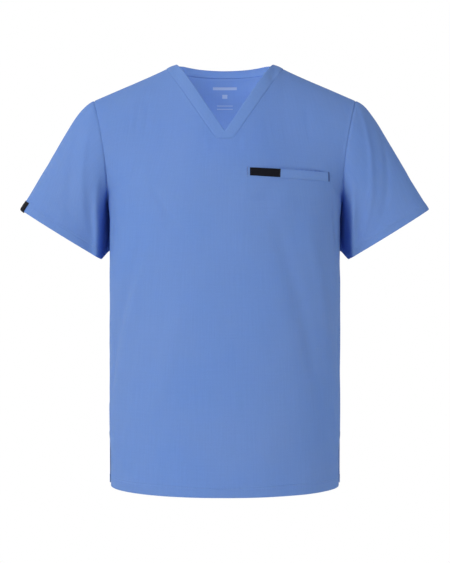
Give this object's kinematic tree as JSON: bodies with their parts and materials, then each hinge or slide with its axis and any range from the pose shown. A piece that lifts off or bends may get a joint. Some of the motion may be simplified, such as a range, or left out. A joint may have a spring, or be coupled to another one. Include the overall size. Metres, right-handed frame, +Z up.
{
  "type": "scrub top",
  "caption": "Short-sleeved V-neck medical scrub top, filled out as worn, with a folded neckband, a welt chest pocket, side vents at the hem and a small plain label and sleeve tab.",
  "frame": {"origin": "midway between the two points where the shoulder seams meet the neck's edge, which is where the top rests on its wearer", "axes": "+Z up along the body towards the neck, +X towards the wearer's left, -Y out of the front"},
  "size_m": [0.6961, 0.2558, 0.7132],
  "materials": {
    "scrub_cloth": "fine matt woven cloth, ceil blue",
    "folded_cloth": "the same cloth folded double and topstitched",
    "black_tape": "black woven label tape"
  },
  "bodies": {
    "root": {"front_panel": "scrub_cloth", "back_panel": "scrub_cloth", "sleeve_left": "scrub_cloth", "sleeve_right": "scrub_cloth", "neckband_front": "folded_cloth", "neckband_back": "folded_cloth", "chest_pocket_welt": "folded_cloth", "pocket_label": "black_tape", "sleeve_tab": "black_tape"}
  },
  "joints": []
}
